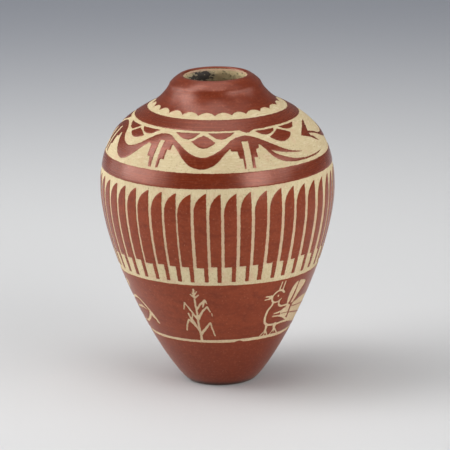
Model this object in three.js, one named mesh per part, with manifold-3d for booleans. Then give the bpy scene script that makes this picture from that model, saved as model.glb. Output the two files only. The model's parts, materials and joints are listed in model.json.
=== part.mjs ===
// A small hand-coiled pottery jar: one buff clay wall under islands of red slip.
// Slip covers the foot, a plain field, a ring of feathers, a belt, a water serpent
// under clouds, and the neck. Buff clay shows in the scratched gaps between them.
// Millimetres, +Z up, origin at the centre of the foot, front of the pattern on -Y.

import * as THREE from "three";
import { mergeVertices } from "three/addons/utils/BufferGeometryUtils.js";
import Module from "manifold-3d";

const wasm = await Module();
wasm.setup();

// Outline of the jar, from the foot to the mouth. A slope is in degrees above level,
// and a sweep is how far the curve keeps its direction on leaving a ring.
const jarHeight = 100;
const footRadius = 10.9;
const footSlope = 38;
const footSweep = 9.9;
const bellyRadius = 37.5;
const bellyHeight = 63.6;
const bellySweepDown = 20.5;
const bellySweepUp = 18.6;
const neckRadius = 20;
const neckDrop = 8.9; // below the crest of the lip
const neckSlope = 28.8;
const neckSweepDown = 9.8;
const neckSweepUp = 1.7;
const lipRadius = 14.7;
const lipDrop = 2.9; // below the crest of the lip
const lipSlope = 70;
const lipSweepDown = 2.4;
const lipSweepUp = 0.8;
const mouthRadius = 10;
const mouthDrop = 0.7; // from the crest down to the slip's edge inside the mouth
const crestInset = 1; // from the mouth's edge out to the crest
const crestSweep = 0.7;

// Thicknesses
const wallThickness = 4.2; // slip and clay together
const floorHeight = 6;
const floorCorner = 2; // from the wall inside to the flat of the floor
const slipThickness = 0.35;
const slipGap = 0.3; // between the slip and the clay that it lies on
const scratchDepth = 0.2; // of the fine lines in the clouds and the figures

// Bands of the pattern. The lower ones stack up from the foot, the upper ones hang
// down from the crest, and the feathers fill what is left between them.
const footSlipHeight = 17.5;
const groundLineWidth = 0.8;
const fieldWidth = 20.6;
const featherMarginBelow = 1.1;
const featherMarginAbove = 1.4;
const neckSlipDrop = 9.1; // from the crest to the points of the scallops
const scallopRingWidth = 0.9; // bare clay under the points
const scallopRise = 0.75;
const scallopCount = 24;
const shoulderBandWidth = 2.5;
const hairlineWidth = 0.45;
const serpentBandWidth = 11.15;
const beltWidth = 4.7;

// Ring of feathers: each has a narrow quill and a wide vane with a slanting tip.
const featherCount = 48;
const featherGapAngle = 1.45;
const quillAngle = 2.2;
const quillLength = 5.2;
const vaneTipLength = 4.3;
const vaneStep = 0.3; // height over which the quill widens to the vane
const featherTurn = 1.5; // degrees from the front to the straight edge of a feather
const tipShares = [0.5, 0.85, 0.99]; // heights on the tip where its curve is set

// Water serpent. Rises are above the belt, angles are degrees round from the front.
const humpAngles = [18.5, -35, -84, -134, -184, -234]; // from the head to the tail
const humpRise = 10.2; // upper edge of the body on a hump
const valleyRise = 5; // upper edge of the body in a valley
const valleyUnderside = 1.5; // lower edge of the body in a valley
const apexRise = 7.6; // highest bare clay beside a leg
const legSlotAngle = 1.75; // half width of the bare slot inside a leg
const legSlotRise = 8.6;
const legStepAngles = [3.3, 5.3, 7.4, 9]; // half widths of the steps, inside to outside
const legStepRises = [1.1, 4.1, 6.3];
const apexAngle = legStepAngles[legStepAngles.length - 1];
const uprightTurn = 0.1; // degrees taken up by an upright edge
const bodySteps = 8; // straight pieces in the body between two humps

// Lower jaw, upper jaw and tail as [angle, lower rise, upper rise]. The jaws are set
// from the first hump, the tail from the last one.
const lowerJaw = [
  [10.5, 6.1, 8.5],
  [12.4, 4.2, 7.8],
  [12.6, 4.1, 4.8],
  [16.5, 2.4, 3.8],
  [21.5, 1.4, 2.8],
  [31.5, 0.9, 1.8],
  [41.5, 1, 1.4],
  [47.5, 1.1, 1.3],
];
const upperJaw = [
  [10.5, 6, 8.5],
  [14.5, 5.3, 7.3],
  [21.5, 4.3, 5.4],
  [26.5, 4, 4.5],
  [32.5, 3.5, 3.7],
];
const tail = [
  [-12, 6.1, 9.7],
  [-19, 3.8, 7.8],
  [-27, 2.9, 5.9],
  [-35, 3.2, 5.2],
  [-43, 4.2, 5.3],
  [-50, 5.2, 5.7],
  [-57, 6.5, 7.1],
  [-62, 7.2, 7.6],
];
const tailBarbAbove = [
  [-52, 9.9, 10.1],
  [-55.5, 9, 9.8],
  [-59.5, 7.3, 9.1],
  [-64, 7.2, 8.4],
  [-69, 7.3, 7.5],
];
const tailBarbBelow = [
  [-55, 4.2, 4.4],
  [-57, 4.4, 5.5],
  [-60.5, 5.7, 7.4],
  [-64, 6.4, 7.5],
  [-69, 7.3, 7.5],
];

// Clouds hang from the shoulder band in each valley of the serpent: a deep one in the
// middle and a shallow one on each side. Drops are below the hairline.
const cloudAngles = [42, -8.3, -59, -109, -159, -209];
const middleCloudSpan = 10.5; // half width in degrees
const middleCloudDrop = 3.9;
const sideCloudAngle = 10.5; // from the middle of the group
const sideCloudSpan = 8.5; // half width in degrees
const sideCloudDrop = 1.7;
const cloudLineWidth = 0.5;
const cloudLineSteps = 3; // straight pieces on each side of the middle

// Figures scratched into the field, as strokes of [turn, rise above the ground line].
// Turns are degrees from the corn's stalk or from the bird's head.
const cornAngles = [-15.2, 113, 225];
const birdAngles = [38, 152, 262];
const strokeWidth = 0.65;
const figureFoot = 0.5; // clear slip between the ground line and a figure
const cornStrokes = [
  [[0, 0], [0.3, 5], [0, 12], [0, 18.6]],
  [[-2.4, 17], [-0.4, 15.8]],
  [[0.4, 15.8], [2.4, 17]],
  [[-0.4, 8], [-3.5, 11], [-7, 13.9]],
  [[-7.4, 13.2], [-8.6, 11.4]],
  [[0.4, 11.5], [5.6, 15]],
  [[0.4, 8], [4, 10.7], [7, 12.8]],
  [[7.6, 12.2], [9.6, 9.4]],
  [[-0.4, 3.8], [-4, 5.6], [-6.4, 7.4]],
  [[-7, 6.6], [-10, 3.6]],
  [[-5.8, 9.9], [-3.4, 6.4]],
  [[0.4, 2], [4, 4.4], [7.8, 6.6]],
  [[8.4, 6], [10.8, 1.8]],
];
const birdStrokes = [
  [[4, 13.4], [2, 12.5], [-1, 12.6], [-3.6, 14], [-3.2, 16], [0, 16.9], [3.6, 16.2], [4.6, 14.6]],
  [[-4.6, 14.6], [-10.4, 14.4]],
  [[-0.4, 17.6], [-0.2, 19.2]],
  [[2.4, 17.3], [2.4, 19.3]],
  [[-2.8, 11.6], [-5.4, 9], [-5.4, 6], [-2.4, 4.2], [4, 3.7], [14, 3.6], [28, 3.4], [40, 2.2]],
  [[3, 11.6], [5.4, 10.2], [12, 10], [20, 10]],
  [[0, 8], [7, 8], [14, 9.2]],
  [[0.6, 6.8], [8, 6.2], [15, 5.2]],
  [[21, 9.6], [32, 9.4], [42, 8.8]],
  [[20, 7.2], [32, 6.4], [42, 5.2]],
  [[11, 11.2], [10.6, 14.6], [13.4, 17.6]],
  [[15, 11.2], [17.6, 14.6], [23.4, 16.8]],
  [[-2.2, 3.4], [-2.6, 0.6]],
  [[5.4, 3], [8, 0.6]],
];

// Fineness of the curved surfaces. Rows of slip are no taller than these steps, so that
// a flat facet never dips into the clay behind it.
const ringSteps = 48;
const shoulderSteps = 72;
const scallopSteps = 3; // columns per scallop
const flankStep = 8;
const shoulderStep = 3;
const clayStep = 5; // rows of the clay wall above the belly
const reach = 2; // how far a cutting shape stands clear of the skin it cuts
const closeEnough = 1e-4;

// Heights worked out from the bands
const groundLineTop = footSlipHeight + groundLineWidth;
const fieldTop = groundLineTop + fieldWidth;
const scallopPoint = jarHeight - neckSlipDrop;
const shoulderTop = scallopPoint - scallopRingWidth;
const hairlineTop = shoulderTop - shoulderBandWidth;
const hairlineBottom = hairlineTop - hairlineWidth;
const beltTop = hairlineBottom - serpentBandWidth;
const beltBottom = beltTop - beltWidth;
const quillFoot = fieldTop + featherMarginBelow;
const featherTop = beltBottom - featherMarginAbove;
const clayDepth = slipThickness + slipGap;

const redSlip = new THREE.MeshStandardMaterial({ color: 0x8c4a36, roughness: 0.38, metalness: 0 });
const buffClay = new THREE.MeshStandardMaterial({ color: 0xd9c59c, roughness: 0.9, metalness: 0 });

const radians = THREE.MathUtils.degToRad;

// A point a given length away from another, along a slope in degrees.
function along(point, slope, length) {
  const angle = radians(slope);
  return new THREE.Vector2(point.x + length * Math.cos(angle), point.y + length * Math.sin(angle));
}

// The outline as one path of (radius, height) that runs up the outside and over the lip.
function makeOutline() {
  const foot = new THREE.Vector2(footRadius, 0);
  const belly = new THREE.Vector2(bellyRadius, bellyHeight);
  const neck = new THREE.Vector2(neckRadius, jarHeight - neckDrop);
  const lip = new THREE.Vector2(lipRadius, jarHeight - lipDrop);
  const crest = new THREE.Vector2(mouthRadius + crestInset, jarHeight);
  const mouth = new THREE.Vector2(mouthRadius, jarHeight - mouthDrop);
  const neckDown = along(neck, -neckSlope, neckSweepDown);
  const neckUp = along(neck, 180 - neckSlope, neckSweepUp);
  const lipDown = along(lip, -lipSlope, lipSweepDown);
  const lipUp = along(lip, 180 - lipSlope, lipSweepUp);
  const crestOut = along(crest, 0, crestSweep);
  const crestIn = along(crest, 180, crestSweep);
  const mouthUp = along(mouth, 90, mouthDrop / 2);
  const path = new THREE.CurvePath();
  path.add(new THREE.CubicBezierCurve(
    foot,
    along(foot, footSlope, footSweep),
    along(belly, -90, bellySweepDown),
    belly,
  ));
  path.add(new THREE.CubicBezierCurve(belly, along(belly, 90, bellySweepUp), neckDown, neck));
  path.add(new THREE.CubicBezierCurve(neck, neckUp, lipDown, lip));
  path.add(new THREE.CubicBezierCurve(lip, lipUp, crestOut, crest));
  path.add(new THREE.CubicBezierCurve(crest, crestIn, mouthUp, mouth));
  return path;
}

const outline = makeOutline();
const outlineLength = outline.getLength();
const [toBelly, toNeck, toLip, toCrest] = outline.getCurveLengths();

// The (radius, height) of the point at a distance along the outline and a depth
// inside it. A negative depth is outside.
function skinPoint(distance, depth) {
  const share = distance / outlineLength;
  const point = outline.getPoint(share);
  const tangent = outline.getTangent(share);
  return new THREE.Vector2(point.x - depth * tangent.y, point.y + depth * tangent.x);
}

// The distance along the outline at which the outside reaches a height.
function distanceUp(height) {
  let low = 0;
  let high = toCrest;
  while (high - low > closeEnough) {
    const middle = (low + high) / 2;
    if (outline.getPoint(middle / outlineLength).y < height) low = middle;
    else high = middle;
  }
  return (low + high) / 2;
}

// Evenly spaced values from first to last, both included.
function spread(first, last, steps) {
  return Array.from({ length: steps + 1 }, (_, i) => first + ((last - first) * i) / steps);
}

// The same, with as many values as keep each step within the one given.
function spreadWithin(first, last, step) {
  return spread(first, last, Math.ceil(Math.abs(last - first) / step));
}

function standUp(geometry) {
  return geometry.rotateX(Math.PI / 2);
}

// A closed slab of skin over a grid. place(column, row) gives the angle in degrees and
// the distance along the outline, and the slab lies between two depths. A ring joins its
// last column to its first. Seen from outside, columns run right and rows run up.
function slab({ columns, rows, place, outer, inner, ring = false }) {
  const positions = [];
  for (const depth of [outer, inner]) {
    for (let column = 0; column < columns; column += 1) {
      for (let row = 0; row <= rows; row += 1) {
        const [angle, distance] = place(column, row);
        const point = skinPoint(distance, depth);
        const turn = radians(angle);
        positions.push(point.x * Math.sin(turn), -point.x * Math.cos(turn), point.y);
      }
    }
  }
  const faces = [];
  const at = (side, column, row) => (side * columns + (column % columns)) * (rows + 1) + row;
  const quad = (a, b, c, d) => faces.push(a, b, c, a, c, d);
  const spans = ring ? columns : columns - 1;
  for (let column = 0; column < spans; column += 1) {
    for (let row = 0; row < rows; row += 1) {
      const next = column + 1;
      quad(at(0, column, row), at(0, next, row), at(0, next, row + 1), at(0, column, row + 1));
      quad(at(1, next, row), at(1, column, row), at(1, column, row + 1), at(1, next, row + 1));
    }
    quad(at(1, column, 0), at(1, column + 1, 0), at(0, column + 1, 0), at(0, column, 0));
    quad(at(0, column, rows), at(0, column + 1, rows), at(1, column + 1, rows), at(1, column, rows));
  }
  const last = columns - 1;
  for (let row = 0; row < rows && !ring; row += 1) {
    quad(at(1, 0, row), at(0, 0, row), at(0, 0, row + 1), at(1, 0, row + 1));
    quad(at(0, last, row), at(1, last, row), at(1, last, row + 1), at(0, last, row + 1));
  }
  const geometry = new THREE.BufferGeometry();
  geometry.setAttribute("position", new THREE.Float32BufferAttribute(positions, 3));
  geometry.setIndex(faces);
  return geometry;
}

// A ring of slip. Its lower edge is a height that may change with the angle, and its
// other rows lie at fixed distances along the outline.
function slipRing(columns, lowHeight, distances) {
  const angles = spread(0, 360, columns);
  const lowest = angles.map((angle) => distanceUp(lowHeight(angle)));
  const place = (column, row) => [
    angles[column],
    row === 0 ? lowest[column] : distances[row - 1],
  ];
  const rows = distances.length;
  return slab({ columns, rows, place, outer: 0, inner: slipThickness, ring: true });
}

// A cutting shape over a run of [angle, lower height, upper height].
function cutter(run, depth) {
  const ordered = [...run].sort((a, b) => a[0] - b[0]);
  const place = (column, row) => [ordered[column][0], distanceUp(ordered[column][1 + row])];
  return slab({ columns: ordered.length, rows: 1, place, outer: -reach, inner: depth });
}

// A cutting shape along a stroke of [angle, height], square across its width.
function strokeCutter(stroke) {
  const [start, startHeight] = stroke[0];
  const radius = skinPoint(distanceUp(startHeight), 0).x;
  const flat = stroke.map(([angle, height]) => (
    new THREE.Vector2(radians(angle - start) * radius, distanceUp(height))
  ));
  const across = flat.map((point, i) => {
    const before = flat[Math.max(i - 1, 0)];
    const after = flat[Math.min(i + 1, flat.length - 1)];
    const way = after.clone().sub(before).setLength(strokeWidth / 2);
    return new THREE.Vector2(-way.y, way.x);
  });
  const place = (column, row) => {
    const point = flat[column].clone().addScaledVector(across[column], 2 * row - 1);
    return [start + THREE.MathUtils.radToDeg(point.x / radius), point.y];
  };
  return slab({ columns: flat.length, rows: 1, place, outer: -reach, inner: scratchDepth });
}

// Manifold solids of closed geometries, and back again.
function solid(geometry) {
  const bare = geometry.clone();
  bare.deleteAttribute("normal");
  bare.deleteAttribute("uv");
  const merged = mergeVertices(bare);
  return new wasm.Manifold(new wasm.Mesh({
    numProp: 3,
    vertProperties: merged.attributes.position.array,
    triVerts: new Uint32Array(merged.index.array),
  }));
}

function geometryOf(body) {
  const mesh = body.getMesh();
  const geometry = new THREE.BufferGeometry();
  geometry.setAttribute("position", new THREE.BufferAttribute(mesh.vertProperties, 3));
  geometry.setIndex(new THREE.BufferAttribute(mesh.triVerts, 1));
  return geometry;
}

// The wall's foot corner, moved inwards from the floor and from the wall alike.
function footCorner(depth) {
  return new THREE.Vector2(footRadius - depth * Math.tan(radians(footSlope / 2)), depth);
}

// Clay wall: up the outside under the slip, over the lip and down the inside.
function makeClayWall() {
  const outside = [
    ...spreadWithin(0, toBelly, flankStep).slice(1),
    ...spreadWithin(toBelly, toNeck, clayStep).slice(1),
    ...spreadWithin(toNeck, toLip, clayStep).slice(1),
    ...spreadWithin(toLip, toCrest, shoulderStep).slice(1),
    outlineLength,
  ];
  const inside = [
    ...spreadWithin(toLip, toNeck, clayStep),
    ...spreadWithin(toNeck, toBelly, clayStep).slice(1),
    ...spreadWithin(toBelly, 0, flankStep).slice(1),
  ];
  const cavity = inside
    .map((distance) => skinPoint(distance, wallThickness))
    .filter((point) => point.y > floorHeight + floorCorner / 2);
  const lowest = cavity[cavity.length - 1];
  const profile = [
    new THREE.Vector2(0, clayDepth),
    footCorner(clayDepth),
    ...outside.map((distance) => skinPoint(distance, clayDepth)),
    new THREE.Vector2(mouthRadius, jarHeight - mouthDrop - clayDepth),
    ...cavity,
    new THREE.Vector2(lowest.x - floorCorner, floorHeight),
    new THREE.Vector2(0, floorHeight),
  ];
  return standUp(new THREE.LatheGeometry(profile, ringSteps));
}

// Foot slip: a cup that covers the underside and climbs to the ground line.
function makeFootSlip() {
  const climb = spreadWithin(0, distanceUp(footSlipHeight), flankStep).slice(1);
  const profile = [
    new THREE.Vector2(0, 0),
    new THREE.Vector2(footRadius, 0),
    ...climb.map((distance) => skinPoint(distance, 0)),
    ...climb.reverse().map((distance) => skinPoint(distance, slipThickness)),
    footCorner(slipThickness),
    new THREE.Vector2(0, slipThickness),
  ];
  return standUp(new THREE.LatheGeometry(profile, ringSteps));
}

function makePlainBand(lowHeight, highHeight, step) {
  const distances = spreadWithin(distanceUp(lowHeight), distanceUp(highHeight), step);
  return slipRing(ringSteps, () => lowHeight, distances.slice(1));
}

// Field slip: a plain band with corn plants and birds scratched into it.
function makeFieldSlip() {
  const figures = [
    ...cornAngles.map((angle) => [angle, cornStrokes]),
    ...birdAngles.map((angle) => [angle, birdStrokes]),
  ];
  let field = solid(makePlainBand(groundLineTop, fieldTop, flankStep));
  for (const [angle, strokes] of figures) {
    for (const stroke of strokes) {
      const placed = stroke.map(([turn, rise]) => [
        angle + turn,
        groundLineTop + figureFoot + rise,
      ]);
      field = field.subtract(solid(strokeCutter(placed)));
    }
  }
  return geometryOf(field);
}

// Neck slip: scalloped below, and rolled over the lip into the mouth.
function makeNeckSlip() {
  const pitch = 360 / scallopCount;
  const scallop = (angle) => {
    const phase = ((angle % pitch) + pitch) % pitch;
    return scallopPoint + scallopRise * Math.sin((Math.PI * phase) / pitch);
  };
  const upNeck = spreadWithin(distanceUp(scallopPoint + scallopRise), toLip, shoulderStep).slice(1);
  const overLip = spreadWithin(toLip, toCrest, shoulderStep).slice(1);
  return slipRing(scallopCount * scallopSteps, scallop, [...upNeck, ...overLip, outlineLength]);
}

// One feather, whose straight edge stands at the given angle. The vane's other edge
// falls away from the tip along a quarter of an ellipse.
function makeFeather(angle) {
  const vaneAngle = 360 / featherCount - featherGapAngle;
  const vaneFoot = quillFoot + quillLength;
  const tipFoot = featherTop - vaneTipLength;
  const rows = [
    [quillFoot, quillAngle],
    [vaneFoot - vaneStep, quillAngle],
    ...spreadWithin(vaneFoot, tipFoot, flankStep).map((height) => [height, vaneAngle]),
  ];
  for (const share of tipShares) {
    rows.push([tipFoot + vaneTipLength * share, vaneAngle * Math.sqrt(1 - share * share)]);
  }
  const place = (column, row) => {
    const [height, width] = rows[row];
    return [angle - width * (1 - column), distanceUp(height)];
  };
  return slab({ columns: 2, rows: rows.length - 1, place, outer: 0, inner: slipThickness });
}

// The serpent's body between two humps, as [angle, lower height, upper height].
function bodyBetween(hump, next) {
  const half = (hump - next) / 2;
  const wave = (share) => (1 + Math.cos(Math.PI * share)) / 2;
  return spread(apexAngle, 2 * half - apexAngle, bodySteps).map((turn) => {
    const above = wave(turn / half);
    const below = wave(Math.abs(1 - (2 * (turn - apexAngle)) / (2 * half - 2 * apexAngle)) - 1);
    return [
      hump - turn,
      beltTop + valleyUnderside + (apexRise - valleyUnderside) * below,
      beltTop + valleyRise + (humpRise - valleyRise) * above,
    ];
  });
}

// The stepped leg under a hump, with a bare slot in its middle.
function legUnder(hump, half) {
  const top = (turn) => {
    const share = (1 + Math.cos((Math.PI * turn) / half)) / 2;
    return beltTop + valleyRise + (humpRise - valleyRise) * share;
  };
  const run = [];
  const starts = [legSlotAngle, ...legStepAngles.slice(0, -1)];
  for (const side of [-1, 1]) {
    run.push([hump + side * (legSlotAngle - uprightTurn), beltTop + legSlotRise, top(legSlotAngle)]);
    legStepRises.forEach((rise, i) => {
      const stop = legStepAngles[i] - uprightTurn;
      run.push([hump + side * starts[i], beltTop + rise, top(starts[i])]);
      run.push([hump + side * stop, beltTop + rise, top(stop)]);
    });
  }
  return run;
}

function fromHump(run, hump) {
  return run.map(([turn, low, high]) => [hump + turn, beltTop + low, beltTop + high]);
}

// The serpent is cut out of a plain ring of slip by the union of its parts' shapes.
function makeSerpent() {
  const body = [];
  humpAngles.forEach((hump, i) => {
    const next = humpAngles[i + 1];
    const half = (next === undefined ? humpAngles[i - 1] - hump : hump - next) / 2;
    body.push(...legUnder(hump, half));
    if (next !== undefined) body.push(...bodyBetween(hump, next));
  });
  const head = humpAngles[0];
  const last = humpAngles[humpAngles.length - 1];
  body.push(...fromHump(lowerJaw, head), ...fromHump(tail, last));
  let shape = solid(cutter(body, slipThickness + reach));
  for (const part of [
    fromHump(upperJaw, head),
    fromHump(tailBarbAbove, last),
    fromHump(tailBarbBelow, last),
  ]) {
    shape = shape.add(solid(cutter(part, slipThickness + reach)));
  }
  return geometryOf(solid(makePlainBand(beltTop, hairlineBottom, shoulderStep)).intersect(shape));
}

// How far a cloud hangs at a turn from its middle: a rounded swag, or nothing beyond it.
function swag(turn, span, drop) {
  return Math.abs(turn) < span ? drop * Math.cos((Math.PI * turn) / (2 * span)) : 0;
}

// How far the clouds hang below the hairline at an angle.
function cloudEdge(angle) {
  const drops = cloudAngles.map((centre) => {
    const turn = Math.abs(((((angle - centre) % 360) + 540) % 360) - 180);
    const middle = swag(turn, middleCloudSpan, middleCloudDrop);
    return Math.max(middle, swag(turn - sideCloudAngle, sideCloudSpan, sideCloudDrop));
  });
  return Math.max(...drops);
}

// Shoulder slip: the band with the clouds below it, parted from them by scratched lines.
function makeShoulderSlip() {
  const lowEdge = (angle) => {
    const drop = cloudEdge(angle);
    return drop > 0 ? hairlineBottom - drop : hairlineTop;
  };
  const rows = spreadWithin(distanceUp(hairlineTop), distanceUp(shoulderTop), shoulderStep);
  const band = solid(slipRing(shoulderSteps, lowEdge, rows));
  let lines = null;
  for (const centre of cloudAngles) {
    const half = cloudLineWidth / 2;
    const peak = hairlineTop - half;
    const turns = spread(0, middleCloudSpan, cloudLineSteps);
    const arms = [-1, 1].map((side) => turns.map((turn) => {
      const height = peak - (middleCloudDrop * turn) / (2 * middleCloudSpan);
      return [centre + side * turn, height - half, height + half];
    }));
    const span = sideCloudAngle + sideCloudSpan;
    const level = spread(-span, span, 2 * cloudLineSteps).map((turn) => [
      centre + turn,
      hairlineBottom,
      hairlineTop,
    ]);
    for (const run of [...arms, level]) {
      const line = solid(cutter(run, scratchDepth));
      lines = lines ? lines.add(line) : line;
    }
  }
  return geometryOf(band.subtract(lines));
}

const jar = new THREE.Group();

function addPart(name, geometry, material) {
  geometry.computeVertexNormals();
  const mesh = new THREE.Mesh(geometry, material);
  mesh.name = name;
  jar.add(mesh);
}

addPart("clay_wall", makeClayWall(), buffClay);
addPart("foot_slip", makeFootSlip(), redSlip);
addPart("field_slip", makeFieldSlip(), redSlip);
for (let i = 0; i < featherCount; i += 1) {
  const name = `feather_slip_${String(i + 1).padStart(2, "0")}`;
  addPart(name, makeFeather(featherTurn + (i * 360) / featherCount), redSlip);
}
addPart("belt_slip", makePlainBand(beltBottom, beltTop, flankStep), redSlip);
addPart("serpent_slip", makeSerpent(), redSlip);
addPart("shoulder_slip", makeShoulderSlip(), redSlip);
addPart("neck_slip", makeNeckSlip(), redSlip);

export default jar;
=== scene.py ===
# %% [markdown]
# # A small redware jar with a scratched pattern
#
# The real jar is coiled from buff clay and coated with red slip, which is clay thinned
# with water. The slip is rubbed with a smooth stone until it shines, and the pattern is
# then scratched through it, so that the pale body shows between islands of red.
#
# It could be modelled as one shell with a painted picture. Here the clay is one body, and
# every island of slip is a thin body of its own that lies on it, because that is how the
# jar was made, and because the edges of the slip then catch the light at any distance.

# %% Load the fixed frame
import json
import math

import bmesh
import bpy
import numpy as np
from mathutils import Matrix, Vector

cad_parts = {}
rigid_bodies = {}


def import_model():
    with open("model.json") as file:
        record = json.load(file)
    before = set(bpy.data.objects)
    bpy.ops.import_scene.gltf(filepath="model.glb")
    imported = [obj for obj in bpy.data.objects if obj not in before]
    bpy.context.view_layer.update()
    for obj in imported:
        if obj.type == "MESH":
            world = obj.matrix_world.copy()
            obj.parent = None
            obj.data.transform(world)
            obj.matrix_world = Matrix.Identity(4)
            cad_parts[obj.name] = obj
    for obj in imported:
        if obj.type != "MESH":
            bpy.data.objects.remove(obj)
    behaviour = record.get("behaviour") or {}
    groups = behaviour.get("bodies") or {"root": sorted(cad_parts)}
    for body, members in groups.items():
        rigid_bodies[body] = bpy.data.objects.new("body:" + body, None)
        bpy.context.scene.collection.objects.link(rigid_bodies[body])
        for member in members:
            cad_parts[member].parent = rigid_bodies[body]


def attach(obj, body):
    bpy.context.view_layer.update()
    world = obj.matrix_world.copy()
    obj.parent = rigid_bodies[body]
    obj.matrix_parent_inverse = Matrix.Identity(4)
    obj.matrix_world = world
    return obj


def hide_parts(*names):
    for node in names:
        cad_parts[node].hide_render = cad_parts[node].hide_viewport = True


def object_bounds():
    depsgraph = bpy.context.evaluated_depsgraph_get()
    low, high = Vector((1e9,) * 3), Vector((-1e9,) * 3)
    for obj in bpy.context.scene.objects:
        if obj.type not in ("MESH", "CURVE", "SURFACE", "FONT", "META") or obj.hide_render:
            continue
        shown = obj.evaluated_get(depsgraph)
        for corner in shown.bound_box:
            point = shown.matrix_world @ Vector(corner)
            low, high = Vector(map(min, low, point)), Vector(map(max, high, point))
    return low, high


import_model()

MM = 0.001
cad_low, cad_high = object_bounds()
jar_height = cad_high.z / MM
print("the jar is", round(jar_height, 2), "mm high and",
      round((cad_high.x - cad_low.x) / MM, 2), "mm wide")

# %% [markdown]
# ## The outline of the wall
#
# A potter reads a jar as one line that runs from the foot over the belly, the shoulder and
# the neck to the lip. Five cubic curves follow it. Each has an end on a ring of the jar
# and a handle that says how far the line keeps its direction there. From then on a place
# on the jar is an angle round from the front and a length along this line.

# %% Rings of the jar, in millimetres
foot = np.array([10.9, 0.0])
belly = np.array([37.5, 63.6])
neck = np.array([20.0, jar_height - 8.9])
lip = np.array([14.7, jar_height - 2.9])
crest = np.array([11.0, jar_height])
mouth = np.array([10.0, jar_height - 0.7])
foot_slope, neck_slope, lip_slope = 38, 28.8, 70
foot_rounding = 0.6


def towards(point, slope, length):
    """The point a length away, along a slope in degrees above level."""
    return point + length * np.array([math.cos(math.radians(slope)),
                                      math.sin(math.radians(slope))])


def cubic(first, handle, last_handle, last, steps=500):
    """The cubic curve of four points: each weighs in by its Bernstein polynomial."""
    t = np.linspace(0, 1, steps, endpoint=False)[:, None]
    return ((1 - t) ** 3 * first + 3 * t * (1 - t) ** 2 * handle
            + 3 * t ** 2 * (1 - t) * last_handle + t ** 3 * last)


underside = np.array([[0.0, 0.0]]) + np.linspace(0, 1, 200, endpoint=False)[:, None] * (
    foot - np.array([foot_rounding, 0]))
flank = cubic(foot, towards(foot, foot_slope, 9.9), towards(belly, -90, 20.5), belly, 1500)
flank_start = np.searchsorted(flank[:, 1], foot_rounding * math.sin(math.radians(foot_slope)))
corner_start = foot - np.array([foot_rounding, 0])
corner = cubic(corner_start, foot, foot, flank[flank_start], 60)
line = np.vstack([
    underside,
    corner,
    flank[flank_start:],
    cubic(belly, towards(belly, 90, 18.6), towards(neck, -neck_slope, 9.8), neck),
    cubic(neck, towards(neck, 180 - neck_slope, 1.7), towards(lip, -lip_slope, 2.4), lip),
    cubic(lip, towards(lip, 180 - lip_slope, 0.8), towards(crest, 0, 0.7), crest),
    cubic(crest, towards(crest, 180, 0.7), towards(mouth, 90, 0.35), mouth),
    mouth[None],
])
line_arc = np.concatenate([[0], np.cumsum(np.hypot(*np.diff(line, axis=0).T))])
line_way = np.gradient(line, line_arc, axis=0)
line_way /= np.linalg.norm(line_way, axis=1)[:, None]
line_end = line_arc[-1]
outside = slice(np.searchsorted(line_arc, foot[0]), np.argmax(line[:, 1]) + 1)
print("the outline is", round(line_end, 1), "mm long")


def arc_at(height):
    """The length along the outline at which the outside reaches a height."""
    return np.interp(height, line[outside, 1], line_arc[outside])


def radius_at(arc):
    return np.interp(arc, line_arc, line[:, 0])


def ripple(angle, arc):
    """How far the skin lies under the true outline. Waves a few millimetres long stand
    for the flats that a polishing stone leaves, and the foot stays flat."""
    turn = np.radians(angle)
    waves = (np.sin(2 * turn + 0.6) * np.cos(arc / 13) + 0.6 * np.sin(3 * turn - arc / 9)
             + 0.25 * np.sin(11 * turn + arc / 4.1) + 0.2 * np.sin(7 * turn - arc / 2.3))
    return (0.09 + 0.03 * waves) * np.clip((arc - foot[0]) / 6, 0, 1)


def wall(angle, arc, depth):
    """A point of the jar, in metres: the outline's point at an arc, moved in along the
    outline's normal by the depth, and carried round the axis by the angle."""
    sunk = depth + ripple(angle, arc)
    radius = radius_at(arc) - sunk * np.interp(arc, line_arc, line_way[:, 1])
    height = np.interp(arc, line_arc, line[:, 1]) + sunk * np.interp(
        arc, line_arc, line_way[:, 0])
    turn = np.radians(angle)
    return np.stack([radius * np.sin(turn), -radius * np.cos(turn), height], axis=-1) * MM


# %% [markdown]
# ## Finishes
#
# Two finishes dress the jar. They are written as sums of noises on the object's own
# coordinates, in millimetres, so that a streak or a pit has its true size. The small
# class below lets a shader be written as a Python expression.

# %% Shader expressions
class Shade:
    """One output of a shader node, which adds and multiplies like a number."""

    def __init__(self, finish, socket):
        self.finish, self.socket = finish, socket

    def _math(self, operation, first, second):
        return self.finish.node("ShaderNodeMath", {"operation": operation},
                                {0: first, 1: second})

    def __add__(self, other):
        return self._math("ADD", self, other)

    def __sub__(self, other):
        return self._math("SUBTRACT", self, other)

    def __rsub__(self, other):
        return self._math("SUBTRACT", other, self)

    def __mul__(self, other):
        return self._math("MULTIPLY", self, other)

    __radd__, __rmul__ = __add__, __mul__


def paint(red, green, blue):
    """A colour given as it looks on a screen, from 0 to 255, as linear light."""
    screen = np.array([red, green, blue]) / 255
    light = np.where(screen < 0.04045, screen / 12.92, ((screen + 0.055) / 1.055) ** 2.4)
    return (*light.tolist(), 1.0)


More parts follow.
